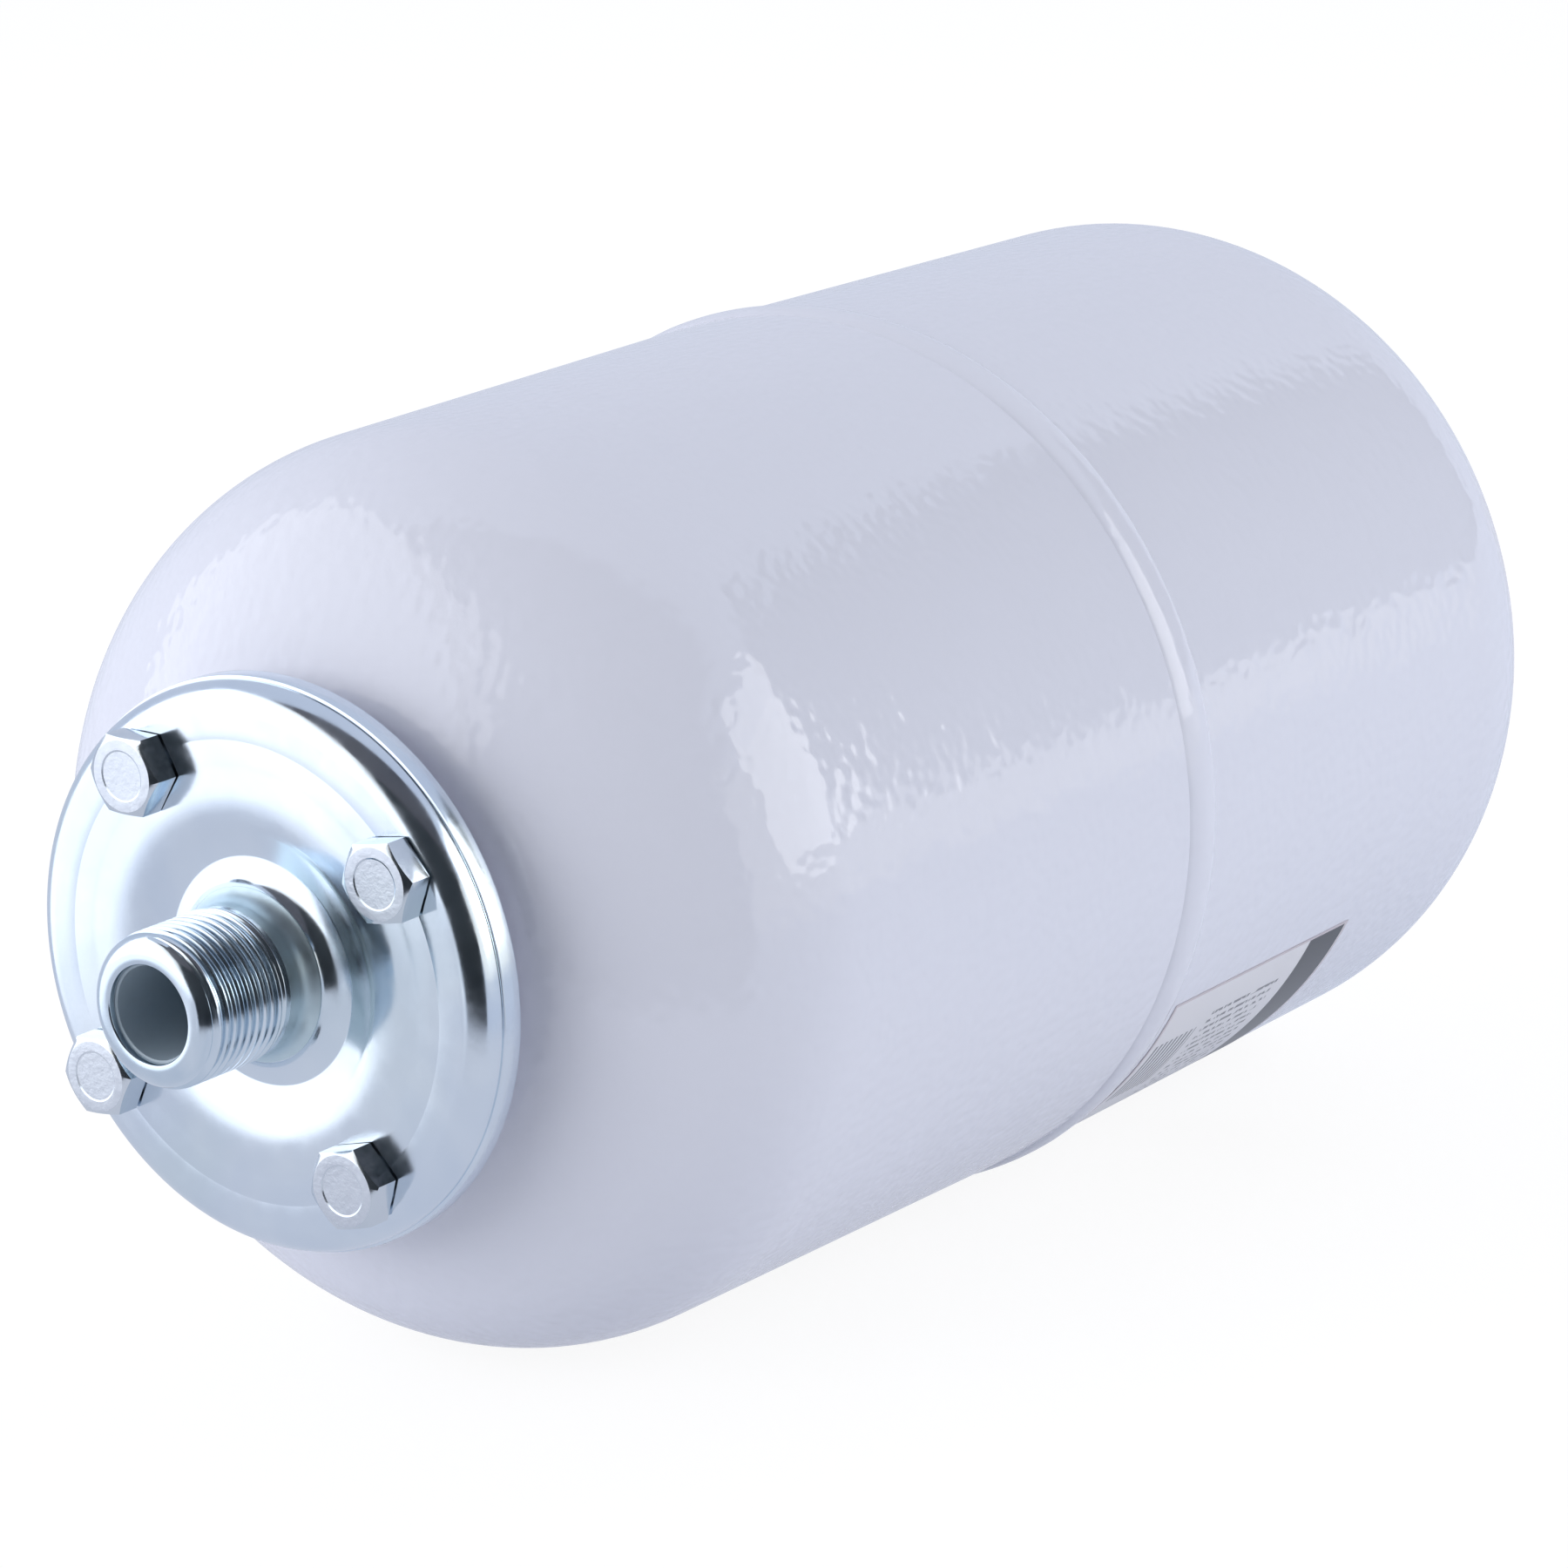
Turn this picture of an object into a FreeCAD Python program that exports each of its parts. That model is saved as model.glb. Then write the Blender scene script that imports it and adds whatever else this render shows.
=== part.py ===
import FreeCAD, Part
import math
import os

# Diaphragm accumulator: a small pressure vessel for water systems, built along a level axis.
# Millimetres, +Z up. The origin is on the axis where the pipe thread ends, next to the cover.
# The connection points along -X and the vessel runs along +X to the gas valve.

# Pressure shell: two equal deep-drawn steel cups, welded mouth to mouth
mouth_radius = 81.6
wall_draft_deg = 0.65
shell_wall = 1.2
cup_depth = 151.4
shell_tip_depth = 7.8
crown_radius = 115.0
knuckle_radius = 37.0
mouth_bevel = 0.7
mouth_land = 0.4

# Girth weld bead that closes the two mouths
bead_width = 8.4
bead_height = 0.95

# Pressed cover at the connection end
cover_sheet = 2.0
neck_length = 5.8
cover_hole_gap = 0.05
land_radius = 14.9
foot_slope_deg = 65.0
foot_rounding = 3.3
foot_end_deg = 20.0
apron_rounding = 13.0
apron_end_deg = 9.0
corner_rounding = 1.2
corner_end_deg = 10.0
rise_rounding = 18.9
rise_end_deg = 25.0
shoulder_rounding = 7.0
shoulder_end_deg = 11.0
crown_rounding = 24.6
crown_slope_deg = 3.5
crown_run = 2.0
crown_blend = 20.0
bolt_seat_radius = 7.6
rim_radius = 48.4
rim_rounding = 4.8
skirt_line_depth = 5.0
skirt_step = 0.5
skirt_depth = 9.3
skirt_edge_rounding = 0.5

# Connection nipple, G 3/4
thread_radius = 13.22
nipple_length = 19.5
nose_rounding = 3.8
nipple_mouth_radius = 8.35
nipple_mouth_depth = 1.2
nipple_bore_radius = 9.2
neck_radius = 12.9
neck_fillet = 3.7
collar_radius = 14.85
collar_edge = 0.15
spigot_radius = 12.4
staked_lip = 1.6
staked_lip_radius = 13.6

# Plastic liner of the bore
liner_wall = 1.2
liner_gap = 0.1
liner_flange_radius = 13.6
liner_flange = 1.5

# Four M8 hex bolts
bolt_count = 4
bolt_circle_radius = 38.4
first_bolt_deg = 54.7
head_turns_deg = (0.5, 49.6, 45.5, 54.3)
bolt_radius = 4.0
bolt_length = 12.0
bolt_tip_chamfer = 0.6
head_flats = 13.0
head_height = 5.3
head_face_share = 0.95
head_chamfer_deg = 30.0
cover_bolt_gap = 0.5
tapped_gap = 0.05

# Threaded ring welded in the front cup's opening
ring_thickness = 10.6
ring_skirt_gap = 0.8
ring_edge_chamfer = 2.4
ring_spigot_wall = 3.0
ring_spigot_past_shell = 3.0
shell_hole_gap = 0.1
ring_weld_leg = 2.6

# Rubber bladder, its lip clamped under the cover
bladder_wall = 2.0
bladder_lip = 2.6
bladder_lip_radius = 33.6
bladder_neck_radius = 29.5
bladder_lip_gap = 0.2
bladder_neck_gap = 0.15
bladder_body_radius = 66.0
bladder_shoulder = 6.0
bladder_end_gap = 12.0

# Gas valve on the rear cup's crown
boss_radius = 9.3
boss_height = 4.0
boss_hole_gap = 0.1
boss_head_radius = 13.0
boss_head = 2.0
stem_shank_radius = 5.0
stem_shank_gap = 0.05
stem_shoulder_flats = 14.0
stem_shoulder = 3.0
stem_thread_radius = 3.85
stem_length = 13.0
stem_throat_radius = 1.9
stem_chamfer = 0.6
seal_thickness = 1.5
seal_radius = 7.0
seal_shank_gap = 0.1

# Valve core, screwed in the stem
core_radius = 2.5
core_gap = 0.1
core_length = 8.0
core_recess = 0.6
core_waist_radius = 2.0
core_waist = 2.0
spring_room_radius = 1.75
spring_room_depth = 5.2
pin_radius = 0.5
pin_gap = 0.08
pin_head_radius = 1.45
pin_head = 0.8
pin_tip = 0.8
pin_tip_recess = 0.3
pin_travel = 1.2
poppet_radius = 1.5
poppet_seal = 0.7
poppet_holder = 0.8
poppet_gap = 0.05
spring_wire_radius = 0.14
spring_coil_radius = 1.2
spring_turns = 5
spring_gap = 0.03

# Plastic cap over the stem
cap_radius = 12.0
cap_top = 2.2
cap_rounding = 1.6
cap_skirt_wall = 1.8
cap_shell_gap = 0.6
cap_thread_gap = 0.1
cap_tube_wall = 1.7
cap_tube_lift = 1.0
cap_flutes = 18
cap_flute_radius = 1.0
cap_flute_depth = 0.45
cap_seal_thickness = 1.2
cap_seal_gap = 0.25

# Planes across the axis, worked out from the sizes above
cover_face = neck_length
cover_back = cover_face + cover_sheet
front_tip = cover_face + shell_tip_depth
seam = front_tip + cup_depth
rear_tip = seam + cup_depth
draft = math.radians(wall_draft_deg)


def vec(point):
    """A point of the axial plane: along the axis, then out from it."""
    return FreeCAD.Vector(point[0], point[1], 0)


def arc(start, end, centre):
    """The middle and the end of the short arc from start to end about a centre."""
    radius = math.dist(start, centre)
    along = (start[0] + end[0]) / 2 - centre[0]
    out = (start[1] + end[1]) / 2 - centre[1]
    reach = radius / math.hypot(along, out)
    return (centre[0] + along * reach, centre[1] + out * reach), end


def turned(start, *steps):
    """Turns a closed outline about the axis. A step is a line's end, or an arc's middle and end."""
    edges = []
    here = start
    for step in steps + (start,):
        if isinstance(step[0], tuple):
            edges.append(Part.Arc(vec(here), vec(step[0]), vec(step[1])).toShape())
            here = step[1]
        elif math.dist(here, step) > 1e-6:
            edges.append(Part.makeLine(vec(here), vec(step)))
            here = step
    face = Part.Face(Part.Wire(edges))
    solid = face.revolve(FreeCAD.Vector(0, 0, 0), FreeCAD.Vector(1, 0, 0), 360)
    if solid.Volume < 0:
        solid.reverse()
    return solid


def rod(start, end, radius, out=0.0, angle_deg=0.0):
    """A cylinder along the axis, set out from it at an angle measured from +Y towards +Z."""
    angle = math.radians(angle_deg)
    base = FreeCAD.Vector(start, out * math.cos(angle), out * math.sin(angle))
    return Part.makeCylinder(radius, end - start, base, FreeCAD.Vector(1, 0, 0))


def hexagon(start, end, flats, out, angle_deg, turn_deg):
    """A hexagonal bar along the axis with one corner at turn_deg."""
    angle = math.radians(angle_deg)
    centre = FreeCAD.Vector(start, out * math.cos(angle), out * math.sin(angle))
    corners = []
    for side in range(7):
        turn = math.radians(turn_deg + 60 * side)
        reach = flats / math.sqrt(3)
        corners.append(centre + FreeCAD.Vector(0, reach * math.cos(turn), reach * math.sin(turn)))
    return Part.Face(Part.makePolygon(corners)).extrude(FreeCAD.Vector(end - start, 0, 0))


def bolt_angles():
    return [first_bolt_deg + 360 / bolt_count * i for i in range(bolt_count)]


# Shell geometry shared by the cups and by what is welded to them
def crown_at(radius, side, inset=0.0):
    """Where the crown of a cup meets a radius: side -1 is the front cup, +1 the rear cup."""
    centre = seam + side * (cup_depth - crown_radius)
    reach = crown_radius - inset
    return centre + side * math.sqrt(reach ** 2 - radius ** 2)


def cup_curve(side, inset):
    """Key points of a cup's meridian, inset from its outside, and the centres of its arcs."""
    crown_x = crown_radius - cup_depth
    slope = math.tan(draft)
    level = mouth_radius - knuckle_radius / math.cos(draft)
    reach = crown_radius - knuckle_radius
    a = 1 + slope ** 2
    b = 2 * (level * slope - crown_x)
    c = crown_x ** 2 + level ** 2 - reach ** 2
    knuckle_x = (-b - math.sqrt(b ** 2 - 4 * a * c)) / (2 * a)
    knuckle_r = level + slope * knuckle_x
    knuckle = knuckle_radius - inset
    crown = crown_radius - inset
    join = (crown_x + crown * (knuckle_x - crown_x) / reach, crown * knuckle_r / reach)
    wall = (knuckle_x - knuckle * math.sin(draft), knuckle_r + knuckle * math.cos(draft))
    mouth = (0, mouth_radius - inset / math.cos(draft))
    points = [join, wall, mouth, (crown_x, 0), (knuckle_x, knuckle_r)]
    return [(seam - side * x, r) for x, r in points]


def cup(side, hole):
    """One deep-drawn cup with a round hole in its crown and a bevelled mouth."""
    join, wall, mouth, crown, knuckle = cup_curve(side, 0)
    join_in, wall_in, mouth_in, _, _ = cup_curve(side, shell_wall)
    start = (crown_at(hole, side), hole)
    inner = (crown_at(hole, side, shell_wall), hole)
    bevel = (seam + side * mouth_bevel, mouth_radius - mouth_bevel * math.tan(draft))
    land = (seam, mouth_in[1] + mouth_land)
    return turned(start, arc(start, join, crown), arc(join, wall, knuckle), bevel, land,
                  mouth_in, wall_in, arc(wall_in, join_in, knuckle), arc(join_in, inner, crown))


# Radii that several pieces share
ring_bore_radius = bladder_neck_radius + bladder_wall + bladder_neck_gap
ring_spigot_radius = ring_bore_radius + ring_spigot_wall
skirt_inner_radius = rim_radius - cover_sheet
ring_radius = skirt_inner_radius - ring_skirt_gap
ring_back = cover_back + ring_thickness
ring_spigot_end = crown_at(ring_spigot_radius, -1, shell_wall) + ring_spigot_past_shell
boss_face = rear_tip + boss_height
shoulder_start = boss_face + seal_thickness
stem_start = shoulder_start + stem_shoulder
stem_tip = stem_start + stem_length
core_end = stem_tip - core_recess
core_start = core_end - core_length
boss_inner = crown_at(boss_head_radius, 1, shell_wall) - boss_head


def front_shell():
    return cup(-1, ring_spigot_radius + shell_hole_gap)


def rear_shell():
    return cup(1, boss_radius + boss_hole_gap)


def girth_weld():
    """Raised bead round the seam, with its root between the two bevels."""
    edge = mouth_radius - bead_width / 2 * math.tan(draft)
    groove = mouth_radius - mouth_bevel * math.tan(draft)
    root = mouth_radius - shell_wall / math.cos(draft) + mouth_land
    crown = (seam, mouth_radius + bead_height)
    left = (seam - bead_width / 2, edge)
    right = (seam + bead_width / 2, edge)
    return turned(left, (crown, right), (seam + mouth_bevel, groove), (seam, root),
                  (seam - mouth_bevel, groove))


def counter_flange():
    """Ring with a recess for the bladder's lip, four tapped holes and a spigot into the shell."""
    recess = (cover_back + bladder_lip, bladder_lip_radius + bladder_lip_gap)
    ring = turned((cover_back, recess[1]),
                  (cover_back, ring_radius - ring_edge_chamfer),
                  (cover_back + ring_edge_chamfer, ring_radius),
                  (ring_back, ring_radius),
                  (ring_back, ring_spigot_radius),
                  (ring_spigot_end, ring_spigot_radius),
                  (ring_spigot_end, ring_bore_radius),
                  (recess[0], ring_bore_radius),
                  recess)
    for angle in bolt_angles():
        hole = rod(cover_back, ring_back, bolt_radius + tapped_gap, bolt_circle_radius, angle)
        ring = ring.cut(hole)
    return ring


def ring_weld():
    """Fillet bead inside the shell, between the ring's spigot and the crown."""
    start = (crown_at(ring_spigot_radius, -1, shell_wall), ring_spigot_radius)
    foot_radius = ring_spigot_radius + ring_weld_leg
    foot = (crown_at(foot_radius, -1, shell_wall), foot_radius)
    crown = (seam - cup_depth + crown_radius, 0)
    return turned(start, arc(start, foot, crown), (start[0] + ring_weld_leg, ring_spigot_radius))


def off(point, way, slope_deg):
    """The point set off square to the sheet, towards the front, where it slopes by an angle."""
    slope = math.radians(slope_deg)
    return (point[0] - way * math.cos(slope), point[1] + way * math.sin(slope))


def pressed_run():
    """Front and back stations of the dish from its land, and the centre of each bend (none: straight)."""
    bends = ((foot_rounding, foot_end_deg), (apron_rounding, apron_end_deg),
             (corner_rounding, -corner_end_deg), (rise_rounding, -rise_end_deg),
             (-shoulder_rounding, -shoulder_end_deg), (-crown_rounding, crown_slope_deg),
             (None, crown_slope_deg), (crown_blend, 0.0))
    point, slope = (0.0, land_radius), foot_slope_deg
    run = [(point, off(point, -cover_sheet, slope), None)]
    for radius, last in bends:
        if radius is None:
            hub = None
            point = (point[0] + crown_run * math.tan(math.radians(slope)), point[1] + crown_run)
        else:
            hub = off(point, radius, slope)
            point = off(hub, -radius, last)
        slope = last
        run.append((point, off(point, -cover_sheet, slope), hub))
    shift = cover_face - point[0]
    return [tuple(p and (p[0] + shift, p[1]) for p in station) for station in run]


# The dish's stations, the land under the nipple's collar and the clamped end of the nipple
dish = pressed_run()
land_face = dish[0][0][0]
land_back = land_face + cover_sheet
nipple_back = land_back + staked_lip


def flange_cover():
    """Pressed sheet cover: land, foot, shallow dish, crown, flat bolting face, rounded rim and skirt."""
    hole = spigot_radius + cover_hole_gap
    foot = dish[1][2]
    below = [station[1] for station in dish]
    below[0] = (land_back, foot[1] - math.sqrt((foot_rounding + cover_sheet) ** 2 - (land_back - foot[0]) ** 2))
    front = [arc(dish[i - 1][0], dish[i][0], dish[i][2]) if dish[i][2] else dish[i][0]
             for i in range(1, len(dish))]
    back = [arc(below[i], below[i - 1], dish[i][2]) if dish[i][2] else below[i - 1]
            for i in range(len(dish) - 1, 0, -1)]
    rim_centre = (cover_face + rim_rounding, rim_radius - rim_rounding)
    skirt_radius = rim_radius + skirt_step
    skirt_end = cover_face + skirt_depth
    line = cover_face + skirt_line_depth
    edge = (skirt_end - skirt_edge_rounding, skirt_radius - skirt_edge_rounding)
    cover = turned((land_face, hole), dish[0][0], *front,
                   (cover_face, rim_centre[1]),
                   arc((cover_face, rim_centre[1]), (rim_centre[0], rim_radius), rim_centre),
                   (line, rim_radius),
                   (line + skirt_step, skirt_radius),
                   (edge[0], skirt_radius),
                   arc((edge[0], skirt_radius), (skirt_end, edge[1]), edge),
                   (skirt_end, skirt_inner_radius),
                   (rim_centre[0], skirt_inner_radius),
                   arc((rim_centre[0], skirt_inner_radius), (cover_back, rim_centre[1]), rim_centre),
                   below[-1], *back,
                   (land_back, hole))
    for angle in bolt_angles():
        hole = rod(cover_face, cover_back, bolt_radius + cover_bolt_gap, bolt_circle_radius, angle)
        seat = rod(cover_face - head_height, cover_face, bolt_seat_radius, bolt_circle_radius, angle)
        cover = cover.cut(hole).cut(seat)
    return cover


def connection_nipple():
    """Turned nipple: rounded nose, thread body, filleted neck, collar and lip staked behind."""
    mouth = -nipple_length
    nose = (mouth + nose_rounding, thread_radius - nose_rounding)
    collar = land_face - collar_edge
    fillet_r = neck_radius + neck_fillet
    fillet_x = collar - math.sqrt(neck_fillet ** 2 - (fillet_r - collar_radius) ** 2)
    fillet = (fillet_x, fillet_r)
    step = mouth + nipple_mouth_depth
    return turned((mouth, nipple_mouth_radius), (mouth, nose[1]),
                  arc((mouth, nose[1]), (nose[0], thread_radius), nose),
                  (0, thread_radius), (thread_radius - neck_radius, neck_radius),
                  (fillet_x, neck_radius),
                  arc((fillet_x, neck_radius), (collar, collar_radius), fillet),
                  (land_face, collar_radius), (land_face, spigot_radius),
                  (land_back, spigot_radius), (land_back, staked_lip_radius),
                  (nipple_back, staked_lip_radius - staked_lip / 2),
                  (nipple_back, nipple_bore_radius),
                  (step, nipple_bore_radius), (step, nipple_mouth_radius))


def port_liner():
    """Plastic sleeve in the bore with a flange on the nipple's inner end."""
    outer = nipple_bore_radius - liner_gap
    inner = outer - liner_wall
    start = -nipple_length + nipple_mouth_depth + liner_gap
    end = nipple_back + liner_flange
    return turned((start, inner), (start, outer), (nipple_back, outer),
                  (nipple_back, liner_flange_radius), (end, liner_flange_radius), (end, inner))


def bladder():
    """Closed rubber bag: clamped lip, neck through the ring, shoulder, body and round end."""
    neck_in = bladder_neck_radius
    neck_out = neck_in + bladder_wall
    lip_back = cover_back + bladder_lip
    flare = ring_spigot_end + bladder_shoulder
    centre_r = neck_out + bladder_shoulder
    flare_centre = (ring_spigot_end, centre_r)
    sweep = bladder_body_radius - centre_r
    body_start = flare + sweep
    sweep_centre = (body_start, centre_r)
    end_centre = (rear_tip - bladder_end_gap - bladder_body_radius, 0)
    body_in = bladder_body_radius - bladder_wall
    tip = end_centre[0] + bladder_body_radius
    grip, outer = dish[6][1], dish[7][1]
    share = (bladder_lip_radius - grip[1]) / (outer[1] - grip[1])
    return turned((cover_back, neck_in), grip,
                  (grip[0] + (outer[0] - grip[0]) * share, bladder_lip_radius),
                  (lip_back, bladder_lip_radius), (lip_back, neck_out),
                  (ring_spigot_end, neck_out),
                  arc((ring_spigot_end, neck_out), (flare, centre_r), flare_centre),
                  arc((flare, centre_r), (body_start, bladder_body_radius), sweep_centre),
                  (end_centre[0], bladder_body_radius),
                  arc((end_centre[0], bladder_body_radius), (tip, 0), end_centre),
                  (tip - bladder_wall, 0),
                  arc((tip - bladder_wall, 0), (end_centre[0], body_in), end_centre),
                  (body_start, body_in),
                  arc((body_start, body_in), (flare + bladder_wall, centre_r), sweep_centre),
                  arc((flare + bladder_wall, centre_r), (ring_spigot_end, neck_in), flare_centre))


def hex_bolt(angle, turn):
    """Hex bolt with a chamfered head, its shank through the cover into the ring."""
    top = cover_face - head_height
    face_radius = head_face_share * head_flats / 2
    corner_radius = head_flats / math.sqrt(3)
    drop = (corner_radius - face_radius) * math.tan(math.radians(head_chamfer_deg))
    head = hexagon(top, cover_face, head_flats, 0, 0, turn)
    head = head.common(turned((top, 0), (top, face_radius), (top + drop, corner_radius),
                              (cover_face, corner_radius), (cover_face, 0)))
    tip = cover_face + bolt_length
    shank = turned((cover_face, 0), (cover_face, bolt_radius),
                   (tip - bolt_tip_chamfer, bolt_radius),
                   (tip, bolt_radius - bolt_tip_chamfer), (tip, 0))
    bolt = head.fuse(shank).removeSplitter()
    place = math.radians(angle)
    bolt.translate(FreeCAD.Vector(0, bolt_circle_radius * math.cos(place),
                                  bolt_circle_radius * math.sin(place)))
    return bolt


def flange_bolts():
    return Part.makeCompound([hex_bolt(angle, turn)
                              for angle, turn in zip(bolt_angles(), head_turns_deg)])


def valve_boss():
    """Steel boss from inside the rear crown: head against the shell, tapped bore."""
    head_edge = (crown_at(boss_head_radius, 1, shell_wall), boss_head_radius)
    root = (crown_at(boss_radius, 1, shell_wall), boss_radius)
    crown = (seam + cup_depth - crown_radius, 0)
    bore = stem_shank_radius + stem_shank_gap
    return turned((boss_inner, bore), (boss_inner, boss_head_radius), head_edge,
                  arc(head_edge, root, crown), (boss_face, boss_radius), (boss_face, bore))


def valve_seal():
    """Rubber ring under the stem's shoulder."""
    bore = stem_shank_radius + seal_shank_gap
    return turned((boss_face, bore), (boss_face, seal_radius),
                  (shoulder_start, seal_radius), (shoulder_start, bore))


def valve_stem():
    """Brass stem: shank in the boss, hex shoulder, threaded end and a stepped bore."""
    core_bore = core_radius + core_gap
    core_floor = core_start - core_waist
    stem = turned((boss_inner, stem_throat_radius), (boss_inner, stem_shank_radius),
                  (stem_start, stem_shank_radius), (stem_start, stem_thread_radius),
                  (stem_tip - stem_chamfer, stem_thread_radius),
                  (stem_tip, stem_thread_radius - stem_chamfer), (stem_tip, core_bore),
                  (core_floor, core_bore), (core_floor - core_gap, stem_throat_radius))
    shoulder = hexagon(shoulder_start, stem_start, stem_shoulder_flats, 0, 0, 0)
    shoulder = shoulder.cut(rod(shoulder_start, stem_start, stem_shank_radius))
    return stem.fuse(shoulder).removeSplitter()


def core_body():
    """Brass core: spring room at its outer end, guide hole, waist for the seal ring."""
    guide = pin_radius + pin_gap
    room_floor = core_end - spring_room_depth
    waist_end = core_start + core_waist
    return turned((core_start, guide), (core_start, core_waist_radius),
                  (waist_end, core_waist_radius), (waist_end, core_radius),
                  (core_end, core_radius), (core_end, spring_room_radius),
                  (room_floor, spring_room_radius), (room_floor, guide))


def core_seal():
    """Ring that seals the core's waist in the stem's bore."""
    return turned((core_start, core_waist_radius), (core_start, core_radius),
                  (core_start + core_waist, core_radius),
                  (core_start + core_waist, core_waist_radius))


# The pin and what hangs on it
poppet_face = core_start - poppet_gap
holder_face = poppet_face - poppet_seal
pin_head_end = stem_tip - pin_tip_recess - pin_tip
pin_head_start = pin_head_end - pin_head


def core_pin():
    """Pin through the core: tip and head outside, poppet holder at the inner end."""
    inner_end = holder_face - poppet_holder
    return turned((inner_end, 0), (inner_end, poppet_radius), (holder_face, poppet_radius),
                  (holder_face, pin_radius), (pin_head_start, pin_radius),
                  (pin_head_start, pin_head_radius), (pin_head_end, pin_head_radius),
                  (pin_head_end, pin_radius), (pin_head_end + pin_tip, pin_radius),
                  (pin_head_end + pin_tip, 0))


def poppet_seal_disc():
    """Rubber washer on the pin, against the core's inner end."""
    return turned((holder_face, pin_radius), (holder_face, poppet_radius),
                  (poppet_face, poppet_radius), (poppet_face, pin_radius))


def core_spring():
    """Coil spring between the core's floor and the pin's head."""
    start = core_end - spring_room_depth + spring_wire_radius + spring_gap
    end = pin_head_start - spring_wire_radius - spring_gap
    length = end - start
    helix = Part.makeHelix(length / spring_turns, length, spring_coil_radius)
    ring = Part.makeCircle(spring_wire_radius, FreeCAD.Vector(spring_coil_radius, 0, 0),
                           FreeCAD.Vector(0, 1, 0))
    coil = Part.Wire(helix).makePipeShell([Part.Wire(ring)], True, True)
    coil.rotate(FreeCAD.Vector(0, 0, 0), FreeCAD.Vector(0, 1, 0), 90)
    coil.translate(FreeCAD.Vector(start, 0, 0))
    return coil


def valve_cap():
    """Plastic cap: fluted skirt over the boss and an inner tube on the stem's thread."""
    skirt_in = cap_radius - cap_skirt_wall
    bore = stem_thread_radius + cap_thread_gap
    tube = bore + cap_tube_wall
    foot = rear_tip + cap_shell_gap
    ceiling = stem_tip + cap_seal_gap + cap_seal_thickness
    top = ceiling + cap_top
    corner = (top - cap_rounding, cap_radius - cap_rounding)
    tube_start = stem_start + cap_tube_lift
    cap = turned((foot, skirt_in), (foot, cap_radius), (corner[0], cap_radius),
                 arc((corner[0], cap_radius), (top, corner[1]), corner), (top, 0),
                 (ceiling, 0), (ceiling, bore), (tube_start, bore), (tube_start, tube),
                 (ceiling, tube), (ceiling, skirt_in))
    out = cap_radius + cap_flute_radius - cap_flute_depth
    for flute in range(cap_flutes):
        groove = rod(foot + cap_skirt_wall, corner[0], cap_flute_radius, out, 360 / cap_flutes * flute)
        cap = cap.cut(groove)
    return cap


def cap_seal():
    """Rubber disc at the top of the cap's bore."""
    start = stem_tip + cap_seal_gap
    return rod(start, start + cap_seal_thickness, stem_thread_radius)


pieces = {
    "front_shell": front_shell,
    "rear_shell": rear_shell,
    "girth_weld": girth_weld,
    "counter_flange": counter_flange,
    "ring_weld": ring_weld,
    "flange_cover": flange_cover,
    "connection_nipple": connection_nipple,
    "port_liner": port_liner,
    "bladder": bladder,
    "flange_bolts": flange_bolts,
    "valve_boss": valve_boss,
    "valve_seal": valve_seal,
    "valve_stem": valve_stem,
    "core_body": core_body,
    "core_seal": core_seal,
    "core_pin": core_pin,
    "poppet_seal": poppet_seal_disc,
    "core_spring": core_spring,
    "valve_cap": valve_cap,
    "cap_seal": cap_seal,
}

os.makedirs("parts", exist_ok=True)
for name, make in pieces.items():
    shape = make()
    shape.exportStep(f"parts/{name}.step")
    box = shape.BoundBox
    print(f"{name:20s} valid {shape.isValid()} solids {len(shape.Solids)} "
          f"volume {shape.Volume:10.1f} x {box.XMin:7.2f} to {box.XMax:7.2f} r {box.YMax:6.2f}")
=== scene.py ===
import math

import bpy
import bmesh
from mathutils import Matrix, Vector, noise


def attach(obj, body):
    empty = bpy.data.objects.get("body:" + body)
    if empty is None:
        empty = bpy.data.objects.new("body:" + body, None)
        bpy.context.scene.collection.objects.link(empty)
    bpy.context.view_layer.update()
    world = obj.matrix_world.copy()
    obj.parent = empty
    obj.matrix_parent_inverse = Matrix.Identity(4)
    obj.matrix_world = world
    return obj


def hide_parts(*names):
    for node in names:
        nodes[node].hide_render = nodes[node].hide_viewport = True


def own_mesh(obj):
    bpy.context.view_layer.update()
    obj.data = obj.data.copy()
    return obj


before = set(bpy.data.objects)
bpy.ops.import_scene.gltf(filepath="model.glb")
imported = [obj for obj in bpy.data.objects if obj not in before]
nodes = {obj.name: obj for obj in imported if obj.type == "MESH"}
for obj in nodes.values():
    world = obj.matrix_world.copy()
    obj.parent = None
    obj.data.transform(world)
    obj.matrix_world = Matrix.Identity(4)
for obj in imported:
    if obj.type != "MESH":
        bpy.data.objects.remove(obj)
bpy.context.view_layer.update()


# Front and rear cups: two equal shells, deep-drawn from 1.2 mm sheet steel and welded mouth to mouth.
# They are sprayed with a thick white gloss powder, which dries with a fine orange peel.
# Each is turned here from the line of its wall, with the hole for its fitting in the crown.
mm = 0.001
seam_x, mouth_r = 165.0, 81.6
draft = math.tan(math.radians(0.65))


def bend(start, end, centre, steps):
    """Stations on the short arc from start to end, without the start."""
    radius = math.dist(start, centre)
    first = math.atan2(start[1] - centre[1], start[0] - centre[0])
    sweep = math.atan2(end[1] - centre[1], end[0] - centre[0]) - first
    sweep = (sweep + math.pi) % (2 * math.pi) - math.pi
    angles = [first + sweep * i / steps for i in range(1, steps + 1)]
    return [(centre[0] + radius * math.cos(a), centre[1] + radius * math.sin(a)) for a in angles[:-1]] + [end]


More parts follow.
